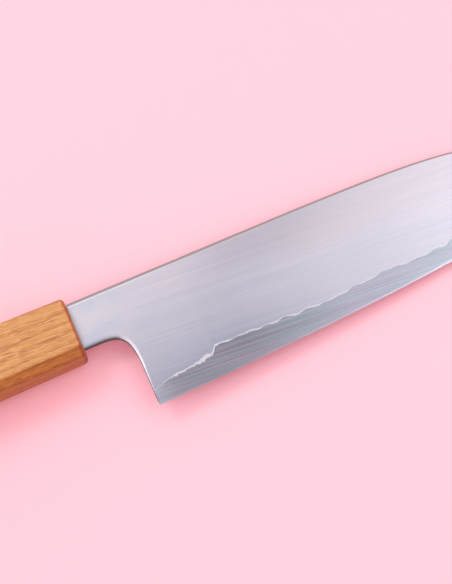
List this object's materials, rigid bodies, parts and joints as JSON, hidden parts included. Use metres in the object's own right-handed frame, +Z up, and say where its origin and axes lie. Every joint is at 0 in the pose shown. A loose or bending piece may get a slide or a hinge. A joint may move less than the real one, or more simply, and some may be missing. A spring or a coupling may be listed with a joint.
{
  "type": "santoku knife",
  "caption": "Kitchen knife with a wide, nearly straight-edged laminated blade, a rounded nose and a notch behind the heel, glued by its tang into a tapered octagonal wooden handle.",
  "frame": {"origin": "middle of the knife's footprint, at the level of the table it lies on", "axes": "+X along the knife from the butt to the point, +Y towards the spine, +Z up out of the blade's right face; the knife lies on its left side and leans 2.8 degrees forward, on the handle's lower front edge and the point"},
  "size_m": [0.3168, 0.0496, 0.0263],
  "materials": {
    "core_steel": "fine satin, grey-blue, with lengthwise scratches",
    "nickel": "bright, thin wavy line",
    "stainless_cladding": "satin, brushed along the blade, polished on spine and notch",
    "handle_wood": "smooth oiled wood with fine dark pores along the grain",
    "adhesive": "hard amber-brown resin"
  },
  "bodies": {
    "root": {"core_steel": "core_steel", "nickel_right": "nickel", "nickel_left": "nickel", "cladding_right": "stainless_cladding", "cladding_left": "stainless_cladding", "handle_body": "handle_wood", "tang_adhesive": "adhesive"}
  },
  "joints": []
}
